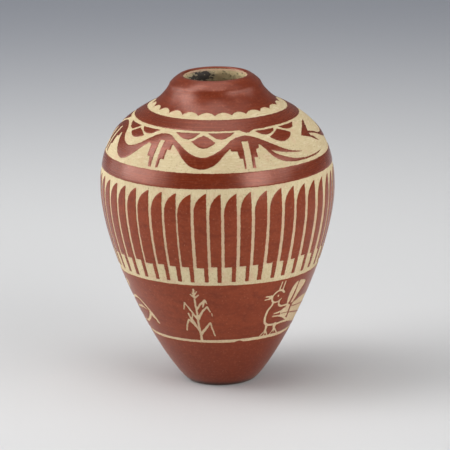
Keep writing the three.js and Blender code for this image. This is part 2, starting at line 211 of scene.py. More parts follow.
class Finish:
    """A material whose nodes are made one at a time, as expressions."""

    def __init__(self, name):
        self.material = bpy.data.materials.new(name)
        self.material.use_nodes = True
        self.tree = self.material.node_tree
        self.surface = self.tree.nodes["Principled BSDF"]
        self.object_place = self.node("ShaderNodeTexCoord", output="Object")

    def node(self, kind, settings=None, inputs=None, output=0):
        """A node of any kind. Its settings are set first, then its sockets."""
        made = self.tree.nodes.new(kind)
        for key, value in (settings or {}).items():
            setattr(made, key, value)
        for key, value in (inputs or {}).items():
            self.feed(made.inputs[key], value)
        return Shade(self, made.outputs[output])

    def feed(self, socket, value):
        if isinstance(value, Shade):
            self.tree.links.new(value.socket, socket)
        else:
            socket.default_value = value

    def stretched(self, across, up):
        """Object coordinates, divided by a grain's size across and up, in mm."""
        return self.node("ShaderNodeVectorMath", {"operation": "MULTIPLY"}, {
            0: self.object_place,
            1: (1 / (across * MM), 1 / (across * MM), 1 / (up * MM)),
        })

    def noise(self, across, up=None, detail=2.0):
        return self.node("ShaderNodeTexNoise", None, {
            "Vector": self.stretched(across, up or across), "Scale": 1.0, "Detail": detail,
        })

    def rise(self, value, low, high):
        """0 below the low value, 1 above the high one, and a smooth step between."""
        return self.node("ShaderNodeMapRange", {"interpolation_type": "SMOOTHSTEP"}, {
            "Value": value, "From Min": low, "From Max": high,
        })

    def mix(self, share, first, second):
        """The first colour where the share is 0, and the second where it is 1."""
        return self.node("ShaderNodeMix", {"data_type": "RGBA"}, {
            0: share, 6: first, 7: second,
        }, output=2)

    def attribute(self, name):
        return self.node("ShaderNodeAttribute", {"attribute_name": name}, output="Fac")

    def height_up(self):
        """The height on the jar in millimetres."""
        parts = self.node("ShaderNodeSeparateXYZ", None, {0: self.object_place}, output="Z")
        return parts * (1 / MM)

    def relief(self, height, depth):
        """A bump whose full height is a depth in millimetres."""
        bump = self.node("ShaderNodeBump", None, {
            "Height": height, "Distance": depth * MM, "Strength": 1.0,
        })
        self.feed(self.surface.inputs["Normal"], bump)

    def set(self, values):
        for name, value in values.items():
            self.feed(self.surface.inputs[name], value)


# %% [markdown]
# ### Burnished red slip
#
# A stone rubbed round the jar leaves bands of slightly different shine, fine streaks that
# run round it, and a few pits that the stone missed. Near a scratched edge the slip is
# thin and a little paler. From the belt up the slip was rubbed longest, so it is darker
# and glossier there. The foot is a shade darker than the belly, and painted shade, a
# contact shadow, makes it darkest where it stands.

# %% Red slip
red = Finish("burnished_red_slip")
up = red.height_up()
tone = red.noise(11, 6, 3)
burnished = red.rise(up, 70.5, 72)
patches = red.noise(3.2, 1.6, 4)
streaks = red.noise(10, 0.42, 4)
grain = red.noise(0.8, detail=4)
pits = red.rise(red.noise(0.45, detail=1), 0.70, 0.76)
pale_dots = red.rise(red.noise(0.55, detail=0), 0.79, 0.82)
body_red = red.mix(red.rise(tone, 0.3, 0.7), paint(127, 49, 23), paint(137, 57, 29))
body_red = red.mix(burnished * 0.85, body_red, paint(118, 42, 16))
body_red = red.mix(red.rise(up, 30, 4) * 0.7, body_red, paint(108, 37, 14))
body_red = red.mix(red.rise(patches, 0.48, 0.68) * 0.5, body_red, paint(108, 38, 17))
body_red = red.mix(red.rise(streaks, 0.45, 0.72) * (0.16 + 0.39 * burnished), body_red,
                   paint(103, 37, 16))
body_red = red.mix(red.rise(streaks, 0.45, 0.30) * (0.1 + 0.3 * burnished), body_red,
                   paint(148, 68, 40))
body_red = red.mix(red.rise(grain, 0.5, 0.75) * 0.45, body_red, paint(152, 78, 52))
body_red = red.mix(red.rise(grain, 0.45, 0.25) * 0.4, body_red, paint(98, 34, 18))
body_red = red.mix(pits * 0.6, body_red, paint(70, 28, 20))
# painted shade: a contact shadow darkens the foot where it stands on the floor
body_red = red.mix(red.rise(up, 2.0, 0.5) * 0.85, body_red, paint(44, 18, 10))
body_red = red.mix(pale_dots * (0.35 - 0.2 * burnished), body_red, paint(190, 128, 98))
thin_edge = 1 - red.rise(red.attribute("from_edge"), 0.02, 0.22)
red.set({
    "Base Color": red.mix(thin_edge * red.rise(grain, 0.3, 0.7) * 0.5, body_red,
                          paint(166, 100, 72)),
    "Roughness": (0.225 + (0.04 + 0.06 * burnished) * (streaks - 0.5) * 1.6
                  + 0.04 * tone + 0.15 * pits + 0.02 * burnished
                  + 0.05 * red.rise(up, 89.5, 92) + 0.07 * red.rise(up, 60, 25)),
    "Metallic": 0.07 + 0.11 * burnished,
    "Coat Weight": 0.38 * burnished,
    "Coat Roughness": 0.27,
    "Specular IOR Level": 0.42,
    "Specular Tint": (1.0, 0.80, 0.66, 1.0),
    "Sheen Weight": 0.08,
    "Sheen Roughness": 0.45,
    "Sheen Tint": (1.0, 0.58, 0.42, 1.0),
})
red.relief(streaks * (0.05 + 0.5 * burnished) + grain * (0.25 + 0.25 * burnished)
           - pits * 1.5, 0.014)

# %% [markdown]
# ### Scratched buff clay
#
# Where the slip is scratched away, the clay is dry and matt. The tool leaves short fine
# furrows, a haze of red dust in some of them and in the narrow lines between the feathers,
# and dark grains of temper. Inside the mouth the clay is rough and smoke has left black
# patches on the far side.

# %% Buff clay
buff = Finish("scratched_buff_clay")
cloudy = buff.noise(7, detail=3)
upright = buff.noise(0.32, 3.2, 3)
level = buff.noise(2.6, 0.3, 3)
sandy = buff.noise(0.6, detail=4)
temper = buff.rise(buff.noise(0.55, detail=1), 0.68, 0.74)
up = buff.height_up()
in_feathers = buff.rise(up, 71.5, 70.5)
furrows = in_feathers * upright + (1 - in_feathers) * level
clay_tone = buff.mix(buff.rise(cloudy, 0.3, 0.7), paint(213, 196, 156), paint(204, 184, 144))
# painted shade: the clay from the serpent up is made a little darker, in place of the lower light on
# it there
clay_tone = buff.mix(buff.rise(up, 73, 79) * 0.27, clay_tone, paint(176, 156, 116))
clay_tone = buff.mix(buff.rise(furrows, 0.5, 0.75) * 0.6, clay_tone, paint(226, 212, 178))
clay_tone = buff.mix(buff.rise(furrows, 0.45, 0.28) * 0.35, clay_tone, paint(182, 158, 120))
clay_tone = buff.mix(buff.rise(sandy, 0.52, 0.72) * 0.5, clay_tone, paint(180, 156, 116))
dust = buff.rise(buff.noise(3.0, detail=5), 0.52, 0.70)
in_gaps = buff.rise(up, 44.5, 46) * buff.rise(up, 66, 61)
red_dust = dust * 0.30 + buff.rise(up, 39, 37) * 0.22 + in_gaps * 0.38
clay_tone = buff.mix(red_dust, clay_tone, paint(201, 152, 128))
clay_tone = buff.mix(temper * 0.5, clay_tone, paint(130, 100, 76))
throat = buff.rise(buff.attribute("inside"), 0.3, 0.7)
clay_tone = buff.mix(throat * 0.6, clay_tone, paint(192, 172, 128))
smoke = buff.attribute("smoke")
haze = buff.rise(smoke, 0.15, 0.75) * throat
clay_tone = buff.mix(haze * 0.6, clay_tone, paint(150, 138, 124))
soot = buff.noise(1.3, 0.8, 5)
smoky = buff.rise(smoke * 0.5 + soot, 0.75, 0.87)
stains = buff.rise(buff.noise(1.1, 0.9, 3), 0.56, 0.66) * throat
clay_tone = buff.mix(stains * 0.7, clay_tone, paint(104, 94, 66))
clay_tone = buff.mix(smoky * throat * 0.92, clay_tone, paint(46, 41, 44))
# painted highlight and red dust: a pale pink line just inside the rim, where the lip catches the
# light and red slip has rubbed onto the clay
rim_dust_and_highlight = buff.rise(up, 98.6, 99.1) * throat
clay_tone = buff.mix(rim_dust_and_highlight * 0.6, clay_tone, paint(214, 160, 142))
buff.set({"Base Color": clay_tone, "Roughness": 0.86})
buff.relief(furrows * 0.5 + sandy * 0.5 + throat * sandy * 2.0, 0.05)
print("finishes:", red.material.name, "and", buff.material.name)


# %% [markdown]
# ## Meshes
#
# Every piece is a grid of four-sided faces. One helper puts such a grid into Blender,
# closes its poles, shades it smooth except at its sharp edges, hangs it on the jar's body
# and hides the solid of the frame that it stands for.


def add_piece(name, points, faces, finish, stands_for, values):
    """Points are rows of x, y and z in metres, and faces are rows of four point numbers.
    Values are numbers that the finish reads, one for each point."""
    mesh = bpy.data.meshes.new(name)
    mesh.vertices.add(len(points))
    mesh.vertices.foreach_set("co", points.astype(np.float32).ravel())
    mesh.loops.add(faces.size)
    mesh.loops.foreach_set("vertex_index", faces.astype(np.int32).ravel())
    mesh.polygons.add(len(faces))
    mesh.polygons.foreach_set("loop_start", np.arange(0, faces.size, 4, dtype=np.int32))
    mesh.update(calc_edges=True)
    for title, numbers in values.items():
        layer = mesh.attributes.new(title, "FLOAT", "POINT")
        layer.data.foreach_set("value", numbers.astype(np.float32))
    shell = bmesh.new()
    shell.from_mesh(mesh)
    bmesh.ops.remove_doubles(shell, verts=shell.verts, dist=1e-7)
    shell.to_mesh(mesh)
    shell.free()
    mesh.shade_smooth()
    mesh.set_sharp_from_angle(angle=math.radians(50))
    mesh.materials.append(finish.material)
    piece = bpy.data.objects.new(name, mesh)
    bpy.context.scene.collection.objects.link(piece)
    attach(piece, "root")
    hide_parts(*stands_for)
    return piece


# %% [markdown]
# ## The clay body
#
# The body is one closed shell: under the foot, up the outside a slip's thickness below
# the skin, over the lip, down the rough throat and across the floor. A closed line is
# carried once round the axis, which is how a wheel or a turntable would shape it. The
# slip is thin, so that the scratched lines can still be seen far round the sides.

# %% Clay body
slip_thickness = 0.13
wall_thickness = 4.2
floor_height = 6.0
body_columns = 300


def through(points, steps=8):
    """A smooth run through points: between two of them the curve is the cubic whose
    slope at each point is half the step between that point's neighbours."""
    points = np.asarray(points, float)
    ends = np.vstack([2 * points[0] - points[1], points, 2 * points[-1] - points[-2]])
    t = np.linspace(0, 1, steps, endpoint=False)[:, None]
    spans = [0.5 * (2 * b + (c - a) * t + (2 * a - 5 * b + 4 * c - d) * t ** 2
                    + (3 * b - a - 3 * c + d) * t ** 3)
             for a, b, c, d in zip(ends, ends[1:], ends[2:], ends[3:])]
    return np.vstack([*spans, points[-1:]])


def make_clay_body():
    """The outside rows are wall points. The inside rows are rings of a smooth run that
    starts at the mouth and follows the outline at the wall's thickness."""
    outer_arcs = np.concatenate([
        np.linspace(0, foot[0], 6, endpoint=False),
        np.linspace(foot[0], arc_at(88), 90, endpoint=False),
        np.linspace(arc_at(88), line_end, 60),
    ])
    angles = np.linspace(0, 360, body_columns, endpoint=False)
    outer = wall(angles[:, None], outer_arcs[None], slip_thickness)
    arcs = np.linspace(arc_at(96.4), foot[0] + 9, 40)
    skin = np.stack([np.interp(arcs, line_arc, line[:, k]) for k in (0, 1)], axis=1)
    way = np.stack([np.interp(arcs, line_arc, line_way[:, k]) for k in (0, 1)], axis=1)
    inner = skin + wall_thickness * np.stack([-way[:, 1], way[:, 0]], axis=1)
    inner = inner[inner[:, 1] > floor_height + 0.8]
    profile = through(np.vstack([
        [[10.15, jar_height - 0.9], [10.1, jar_height - 1.6], [10.15, jar_height - 2.6]],
        inner, [[inner[-1, 0] - 1.6, floor_height], [3, floor_height], [0, floor_height]],
    ]), 3)
    turn = np.radians(angles)[:, None]
    rough = (0.10 * np.sin(5 * turn + profile[None, :, 1] * 1.1)
             + 0.07 * np.sin(13 * turn - profile[None, :, 1] * 2.3)
             + 0.05 * np.sin(29 * turn + 2 * np.sin(profile[None, :, 1] * 3.1)))
    rough *= np.clip((jar_height - 0.9 - profile[None, :, 1]) / 1.5, 0, 1)
    radius = profile[None, :, 0] + rough * np.clip(profile[None, :, 0] / 4, 0, 1)
    inside = np.stack([radius * np.sin(turn), -radius * np.cos(turn),
                       profile[None, :, 1] + 0 * turn], axis=-1) * MM
    grid = np.concatenate([outer, inside], axis=1)
    rows = grid.shape[1]
    column, row = np.meshgrid(np.arange(body_columns), np.arange(rows - 1), indexing="ij")
    after = (column + 1) % body_columns
    faces = np.stack([column * rows + row, after * rows + row,
                      after * rows + row + 1, column * rows + row + 1], axis=-1)
    points = grid.reshape(-1, 3)
    x, y, z = (points / MM).T
    within = np.concatenate([np.zeros(outer.shape[1]), np.ones(inside.shape[1])])
    within = np.tile(within, body_columns)
    patch = np.exp(-(((x + 4.4) / 4.6) ** 2 + ((z - jar_height + 3.0) / 2.6) ** 2))
    add_piece("clay_body", points, faces.reshape(-1, 4), buff, ["clay_wall"],
              {"smoke": patch * within * (y > 0), "inside": within})
    print("clay body:", faces.shape[0] * faces.shape[1], "faces")


make_clay_body()

# %% [markdown]
# ## Islands of slip
#
# An island is described by its room: the distance from a point to the island's edge,
# above zero inside the island and below zero outside. Rooms combine simply, because the
# smaller of two is what they share and the larger is both together. The slab is then the
# part of a fine grid with room above zero, its rim moved onto the line where the room is
# zero, so any scratched shape comes out with a clean, slightly rounded edge.

# %% A slab of slip wherever there is room
edge_rounding = 0.05
edge_width = 0.22
sunk_in_clay = 0.08
lag = 0.02


def tremble(angle, arc):
    """The shake of the hand that scratched the edges, a few hundredths of a mm."""
    return (0.030 * np.sin(arc * 2.9 + angle * 0.8) + 0.028 * np.sin(angle * 2.1 - arc * 1.3)
            + 0.022 * np.sin(arc * 6.1 - angle * 3.7) + 0.018 * np.sin(angle * 7.3 + arc * 4.7))


def uphill(room, angle, arc):
    """The room at a point and its slope round the jar and up it, per millimetre."""
    here = room(angle, arc)
    lag_angle = np.degrees(lag / np.maximum(radius_at(arc), 1))
    return here, (room(angle + lag_angle, arc) - here) / lag, (room(angle, arc + lag) - here) / lag


def lay_slip(name, stands_for, angles, arcs, shape, ring=False, pole=False):
    """A closed slab over the cells of a grid whose centres have room. Points on its rim
    walk up or down the slope of the room until it is zero. The top is rounded off close
    to the rim, and the underside lies a little way into the clay."""
    def room(angle, arc):
        return shape(angle, arc) + tremble(angle, arc)

    around, rows = len(angles), len(arcs)
    columns = around if ring else around - 1
    widths = np.diff(np.append(angles, angles[0] + 360))[:columns]
    middle_angle = (angles[:columns] + widths / 2)[:, None]
    middle_arc = ((arcs[1:] + arcs[:-1]) / 2)[None]
    kept = room(middle_angle, middle_arc) > 0

    def cells_around(kept):
        """Which of the four cells round each point are kept."""
        padded = np.pad(kept, ((0, 0), (1, 1)))
        if pole:
            padded[:, 0] = True
        if ring:
            before, after = np.roll(padded, 1, axis=0), padded
        else:
            padded = np.pad(padded, ((1, 1), (0, 0)))
            before, after = padded[:-1], padded[1:]
        return before[:, :-1], before[:, 1:], after[:, :-1], after[:, 1:]

    for _ in range(4):
        low_left, high_left, low_right, high_right = cells_around(kept)
        touch = ((low_left & high_right & ~high_left & ~low_right)
                 | (high_left & low_right & ~low_left & ~high_right))
        i, j = np.nonzero(touch)
        inside = (i < columns) & (j < rows - 1)
        kept[i[inside], j[inside]] = True
        kept[i[inside], np.maximum(j[inside] - 1, 0)] = True
    low_left, high_left, low_right, high_right = cells_around(kept)
    count = low_left.astype(int) + high_left + low_right + high_right

    used = count > 0
    number = np.full(used.shape, -1)
    number[used] = np.arange(used.sum())
    angle = np.repeat(angles[:, None], rows, axis=1)[used]
    arc = np.repeat(arcs[None], around, axis=0)[used]
    rim = (count[used] < 4)
    far = 0.6 * max(widths.max() * np.pi / 180 * radius_at(arcs.mean()), np.diff(arcs).max())
    for _ in range(4):
        here, round_slope, up_slope = uphill(room, angle[rim], arc[rim])
        steep = np.maximum(round_slope ** 2 + up_slope ** 2, 0.05)
        step = np.clip(here / np.sqrt(steep), -far, far) / np.sqrt(steep)
        angle[rim] -= np.degrees(step * round_slope / np.maximum(radius_at(arc[rim]), 1))
        arc[rim] -= step * up_slope
    here, round_slope, up_slope = uphill(room, angle, arc)
    from_edge = np.clip(here / np.sqrt(np.maximum(round_slope ** 2 + up_slope ** 2, 0.05)), 0, 1)
    from_edge[rim] = 0
    closeness = 1 - np.clip(from_edge / edge_width, 0, 1)
    top = wall(angle, arc, edge_rounding * closeness ** 2)
    under = wall(angle, arc, slip_thickness + sunk_in_clay)

    i, j = np.nonzero(kept)
    k = (i + 1) % around
    a, b, c, d = number[i, j], number[k, j], number[k, j + 1], number[i, j + 1]
    size = used.sum()
    faces = [np.stack([a, b, c, d], 1), np.stack([b, a, d, c], 1) + size]
    below = ~np.pad(kept, ((0, 0), (1, 0)))[i, j]
    if pole:
        below &= j > 0
    above = ~np.pad(kept, ((0, 0), (0, 1)))[i, j + 1]
    if ring:
        left, right = ~np.roll(kept, 1, axis=0)[i, j], ~np.roll(kept, -1, axis=0)[i, j]
    else:
        left = ~np.pad(kept, ((1, 0), (0, 0)))[i, j]
        right = ~np.pad(kept, ((0, 1), (0, 0)))[i + 1, j]
    for side, first, second in ((below, a, b), (right, b, c), (above, c, d), (left, d, a)):
        first, second = first[side], second[side]
        faces.append(np.stack([first + size, second + size, second, first], 1))
    faces = np.vstack(faces)
    values = {"from_edge": np.concatenate([from_edge, from_edge])}
    add_piece(name, np.vstack([top, under]), faces, red, stands_for, values)
    return len(faces)


def steps_of(first, last, size, radius=None):
    """Evenly spaced values no further apart than a size in mm. With a radius they are
    angles in degrees, and without one they are lengths."""
    span = abs(last - first) * (1 if radius is None else np.pi / 180 * radius)
    return np.linspace(first, last, int(math.ceil(span / size)) + 1)


def ring_steps(size, radius):
    return np.linspace(-180, 180, int(math.ceil(2 * np.pi * radius / size)), endpoint=False)


def round_edge(points):
    """An edge that runs round the jar: a height that eases between [angle, height]
    points and joins up behind. Points are given in order, within one turn."""
    angles, heights = np.array(points, float).T
    angles = np.concatenate([angles - 360, angles, angles + 360])
    heights = np.tile(heights, 3)
    return lambda angle: arc_at(np.interp(angle, angles, heights))


# %% [markdown]
# ## Foot, ground line and belt
#
# The foot is a cup of slip that covers the underside and ends at a thin scratched line,
# the ground on which the figures stand. At one spot the scratch is not quite cut through,
# and a tongue of red bulges into the line. The belt is a plain band above the feathers.

# %% Foot and belt
foot_edge = round_edge([(-180, 17.6), (-90, 17.35), (-60, 17.3), (-20, 17.5), (5, 17.45),
                        (11, 17.5), (13.5, 18.0), (16, 17.95), (18, 17.5), (40, 17.35),
                        (60, 17.0), (120, 17.4)])
faces_made = lay_slip(
    "foot_coat", ["foot_slip"], ring_steps(0.42, 20),
    np.concatenate([np.linspace(0, foot[0] - 1, 12, endpoint=False),
                    steps_of(foot[0] - 1, arc_at(18.6), 0.4)]),
    lambda angle, arc: foot_edge(angle) - arc, ring=True, pole=True)
belt_top = round_edge([(-180, 75.9), (-80, 76.15), (-40, 76.2), (0, 76.0), (40, 75.9),
                       (60, 75.7), (80, 75.8)])
belt_foot = round_edge([(-180, 71.3), (-60, 71.25), (-20, 71.2), (0, 71.35), (30, 71.2),
                        (60, 71.3), (100, 71.25)])
faces_made += lay_slip(
    "belt_coat", ["belt_slip"], ring_steps(0.3, 37), steps_of(arc_at(70.8), arc_at(76.8), 0.24),
    lambda angle, arc: np.minimum(belt_top(angle) - arc, arc - belt_foot(angle)), ring=True)
print("foot and belt:", faces_made, "faces")

# %% [markdown]
# ## Neck
#
# The neck is red from its scalloped lower edge over the rolled lip and a little way into
# the mouth. Each scallop is a small arch cut with one turn of the tool, so two arches
# meet in a point of red.

# %% Neck
scallop_points = np.array([-62, -46.5, -31.5, -16, -1, 14.3, 28, 43.5, 57, 73, 88, 103, 118.5,
                           133, 148, 163, 178.5, 194, 208, 223, 238.5, 253, 268, 283])


def scallops(angle):
    """The height of the arches: a power of half a sine wave between two neighbouring
    points. The arches are a little higher on the left of the jar than on the right."""
    start = scallop_points[0]
    turn = (angle - start) % 360
    stops = np.append(scallop_points - start, 360)
    arch = np.clip(np.searchsorted(stops, turn, side="right") - 1, 0, len(stops) - 2)
    share = (turn - stops[arch]) / (stops[arch + 1] - stops[arch])
    rise = 0.78 - 0.13 * np.sin(np.radians(angle))
    return 90.88 + rise * np.sin(np.pi * share) ** 0.75


faces_made = lay_slip(
    "neck_coat", ["neck_slip"], ring_steps(0.26, 20),
    np.concatenate([steps_of(arc_at(90.3), arc_at(92.4), 0.16)[:-1],
                    steps_of(arc_at(92.4), line_end + 0.3, 0.36)]),
    lambda angle, arc: np.minimum(arc - arc_at(scallops(angle)), line_end - 0.12 - arc),
    ring=True)
print("neck:", faces_made, "faces")

# %% [markdown]
# ## Ring of feathers
#
# Forty-eight feathers stand side by side round the belly. Each has a narrow quill, a wide
# vane with one straight side and a tip that sweeps back from that side. They were set out
# by eye, so those at the front have their own places, and the rest wander a little.

# %% Feathers
feather_count = 48
pitch = 360 / feather_count
feather_turn = 1.5
tip_sides = np.array([-66.1, -58.4, -51.3, -43.6, -35.8, -28.2, -20.7, -13.2, -5.6, 1.4,
                      9.0, 16.3, 24.4, 32.5, 40.0, 47.5, 55.4, 63.0, 70.3])
quill_sides = np.array([-67.0, -59.0, -51.3, -43.8, -35.6, -28.4, -21.3, -14.0, -6.0, 1.1,
                        8.9, 16.3, 23.6, 31.9, 38.9, 46.7, 54.7, 62.0, 69.8])
vane_sides = np.array([-72.3, -64.9, -57.1, -49.7, -42.5, -34.2, -26.9, -20.0, -11.9, -4.3,
                       2.8, 10.7, 17.9, 25.7, 34.0, 41.3, 49.1, 57.6, 65.4])
seen = np.arange(-9, 10)
chance = np.random.default_rng(7)
wander = chance.normal(0, 0.28, (3, feather_count))
even = feather_turn + pitch * np.arange(feather_count)
tip_side = even + wander[0]
tip_side[seen] = tip_sides + np.where(seen < 0, 360, 0)
quill_side = tip_side - 0.3 + wander[1]
vane_side = np.roll(tip_side, 1) + 1.35 + 0.4 * wander[2]
vane_side[0] -= 360
quill_side[seen] = quill_sides + np.where(seen < 0, 360, 0)
vane_side[seen] = vane_sides + np.where(seen < 0, 360, 0)
tip_heights = 69.85 + chance.normal(0, 0.12, feather_count)
vane_feet = 45.3 + chance.normal(0, 0.16, feather_count)
quill_feet = 39.95 + chance.normal(0, 0.1, feather_count)
quill_widths = 2.3 + chance.normal(0, 0.14, feather_count)
tip_drops = [0, 0.35, 0.85, 1.85, 2.85, 3.85, 4.9, 6.2]
tip_shares = [0, 0.18, 0.36, 0.62, 0.78, 0.89, 0.96, 1.0]
faces_made = 0
for index in range(feather_count):
    quill_foot, vane_foot = arc_at(quill_feet[index]), arc_at(vane_feet[index])
    tip = arc_at(tip_heights[index])

    def feather(angle, arc):
        """The larger of two rooms: the quill's strip and the vane's, which narrows to
        the tip on one side only."""
        share = np.clip((arc - quill_foot) / (tip - quill_foot), 0, 1)
        straight = quill_side[index] + (tip_side[index] - quill_side[index]) * share ** 0.8
        broad = np.interp(tip - arc, tip_drops, tip_shares)
        left = straight - (straight - vane_side[index]) * broad
        scale = np.pi / 180 * radius_at(arc)
        before_straight = (straight - angle) * scale
        vane = np.minimum(np.minimum(before_straight, (angle - left) * scale),
                          arc - vane_foot)
        quill_left = quill_side[index] - quill_widths[index]
        quill = np.minimum(np.minimum(before_straight, (angle - quill_left) * scale),
                           np.minimum(arc - quill_foot, vane_foot + 2 - arc))
        return np.maximum(vane, quill)

    faces_made += lay_slip(
        f"feather_coat_{index + 1:02d}", [f"feather_slip_{index + 1:02d}"],
        steps_of(vane_side[index] - 0.8, max(tip_side[index], quill_side[index]) + 0.8, 0.26, 37),
        np.concatenate([steps_of(arc_at(39.2), arc_at(46), 0.24)[:-1],
                        steps_of(arc_at(46), arc_at(65), 0.42)[:-1],
                        steps_of(arc_at(65), arc_at(70.8), 0.22)]), feather)
print("feathers:", faces_made, "faces")

# %% [markdown]
# ## Shapes drawn by their outline
#
# The serpent, the clouds and the broad parts of the birds are drawn as outlines of
# [angle, height] corners. The room of such a shape is the distance to the nearest side,
# with its sign turned outside. Scratched lines are the other way about: they take room
# from the slip that they cross, and may swell or thin along their way.

# %% Rooms of outlines and scratches
def near(angle, middle):
    """An angle counted from a middle, within half a turn."""
    return (angle - middle + 180) % 360 - 180


def inside_of(corners):
    """The room of a closed outline of [angle, height] corners."""
    corners = np.asarray(corners, float)
    middle = corners[:, 0].mean()
    ups = arc_at(corners[:, 1])
    scale = np.pi / 180 * radius_at(ups.mean())
    acrosses = (corners[:, 0] - middle) * scale

    def room(angle, arc):
        x, y = np.broadcast_arrays(near(angle, middle) * scale, arc)
        nearest, within = np.full(x.shape, np.inf), np.zeros(x.shape, bool)
        for x0, y0, x1, y1 in zip(acrosses, ups, np.roll(acrosses, -1), np.roll(ups, -1)):
            dx, dy = x1 - x0, y1 - y0
            share = np.clip(((x - x0) * dx + (y - y0) * dy) / (dx * dx + dy * dy + 1e-12), 0, 1)
            nearest = np.minimum(nearest, (x - x0 - share * dx) ** 2 + (y - y0 - share * dy) ** 2)
            if dy:
                within ^= ((y0 > y) != (y1 > y)) & (x < x0 + (y - y0) * dx / dy)
        return np.where(within, 1, -1) * np.sqrt(nearest)

    return room


def either(*rooms):
    """The room of several shapes together."""
    return lambda angle, arc: np.maximum.reduce([room(angle, arc) for room in rooms])


def shifted(corners, turn):
    return np.asarray(corners, float) + [turn, 0]


def joined(*runs):
    """A closed outline from runs that each start where the one before them ends."""
    return np.vstack([np.asarray(run, float)[:-1] for run in runs])


# %% [markdown]
# ## Water serpent
#
# The serpent swims once round the shoulder. Its body lies between a wave that is its back
# and the smooth bays under it, both read as heights at an angle. Below each crest stands
# a leg cut in steps, with a bare bar up the middle. At the front are the head with open
# jaws and, just behind it, the arrow of the tail.

# %% Back and bays of the serpent
back_front = through([
    (-84, 86.3), (-80, 86.15), (-76, 85.75), (-72, 85.0), (-68, 83.4), (-64, 82.2), (-59, 81.6),
    (-55, 81.8), (-50, 82.8), (-45, 84.4), (-40, 85.8), (-35, 86.35), (-30, 86.1),
    (-26, 85.1), (-22, 84.0), (-18, 82.6), (-14, 81.4), (-10, 80.7), (-7, 80.65), (-4, 81.0),
    (0, 82.0), (4, 83.3), (8, 84.8), (12, 85.6), (18.5, 86.0), (25, 85.2), (30, 84.0)])
back_wave = through([
    (-50, 86.3), (-46, 86.05), (-42, 85.4), (-38, 84.2), (-34, 82.8), (-30, 81.7), (-25, 81.2),
    (-20, 81.7), (-16, 82.8), (-12, 84.2), (-8, 85.4), (-4, 86.05), (0, 86.3)])
back_tail = through([
    (-60, 83.6), (-56, 83.3), (-51, 82.55), (-46, 81.6), (-38, 81.1), (-30, 81.4), (-23, 82.2),
    (-17, 83.4), (-12, 84.5), (-7, 85.6), (-3, 86.15), (0, 86.3)])
bay_front = through([
    (-26, 83.8), (-22, 82.0), (-18, 79.7), (-14, 78.0), (-8.5, 77.2), (-4, 77.7), (0, 79.0),
    (4, 81.3), (7.5, 82.9)])
bay_second = through([
    (-74, 83.5), (-71, 81.7), (-68, 79.8), (-64, 78.1), (-60, 77.5), (-57, 77.8), (-54, 78.6),
    (-50, 80.3), (-46, 82.3), (-43, 83.5)])
bay_wave = through([
    (-41, 83.7), (-38, 82.2), (-34, 79.9), (-30, 78.2), (-25, 77.5), (-20, 78.2), (-16, 79.9),
    (-12, 82.2), (-9.5, 83.6)])
bay_tail = through([
    (-60, 83.0), (-56, 82.7), (-51, 82.0), (-46, 80.95), (-40, 79.7), (-33, 78.8), (-25, 78.6),
    (-18, 79.8), (-13, 81.9), (-9.5, 83.6)])
waves = [-184, -134, -84]
tail_wave = -234
head_turn = 27.5


def strung(*runs):
    """Runs of [angle, height] put end to end, as heights that can be read at an angle."""
    angles, heights = np.vstack(runs).T
    return lambda angle: arc_at(np.interp(angle, angles, heights))


def between_bays(crest_turn):
    """The underside of the body above a leg, where the bare bar ends."""
    return shifted([(-7.9, 83.55), (-7.5, 84.6), (7.5, 84.6), (7.9, 83.6)], crest_turn)


back = strung(shifted(back_tail, tail_wave)[:-1],
              *[shifted(back_wave, turn)[:-1] for turn in waves], back_front)
underneath = strung(
    shifted(bay_tail, tail_wave), between_bays(tail_wave),
    *[run for turn in waves for run in (shifted(bay_wave, turn), between_bays(turn))],
    bay_second, between_bays(-35), bay_front,
    [(8.2, 82.95), (8.6, 84.6), (22.5, 84.6), (24.4, 83.6), (27.5, 83.0)])


def serpent_body(angle, arc):
    """The lesser of the distances to the back, to the underside and to the two ends."""
    turn = np.where(angle > head_turn, angle - 360, angle)
    scale = np.pi / 180 * radius_at(arc)
    ends = np.minimum(head_turn - 0.5 - turn, turn - (tail_wave - 61.5)) * scale
    return np.minimum(np.minimum(back(turn) - arc, arc - underneath(turn)), ends)


# %% Legs, head and tail
leg_left = [(-8.5, 83.6), (-5.6, 83.2), (-5.2, 80.0), (-3.4, 80.0), (-3.0, 77.0), (-1.4, 77.0),
            (-0.6, 84.6), (-0.6, 85.6), (-8.5, 84.8)]
leg_right = [(2.4, 85.6), (2.4, 84.6), (1.5, 77.0), (3.0, 77.0), (3.4, 79.6), (5.6, 79.6),
             (6.0, 82.3), (8.0, 82.3), (8.5, 83.7), (8.5, 84.8), (6.0, 85.4)]
front_leg_left = [(7.4, 83.0), (8.0, 82.2), (11.6, 82.0), (12.2, 80.0), (14.0, 80.0),
                  (14.3, 77.0), (15.2, 77.0), (15.0, 84.6), (15.0, 85.6), (7.4, 84.2)]
front_leg_right = [(18.9, 85.6), (18.9, 84.6), (18.6, 77.0), (20.2, 77.0), (20.4, 80.0),
                   (22.3, 80.0), (22.4, 82.2), (24.3, 82.5), (24.9, 83.9), (24.9, 84.8)]
jaws = joined(
    through([(25, 85.25), (30, 84.0), (35, 82.6), (40, 81.2), (45, 80.2), (52.2, 79.25)]),
    through([(52.2, 79.25), (47, 79.5), (42, 79.95), (37, 80.55), (33, 81.15), (31.2, 81.4)]),
    through([(31.2, 81.4), (34, 80.2), (38, 79.2), (43, 78.2), (48, 77.6), (54, 77.3),
             (62, 77.3), (71, 77.5)]),
    through([(71, 77.5), (64, 76.95), (58, 76.8), (50, 76.8), (44, 77.0), (38, 77.6), (34, 78.6),
             (31, 79.9), (28, 82.0), (24.8, 83.9)]),
    [(24.8, 83.9), (25, 85.25)])
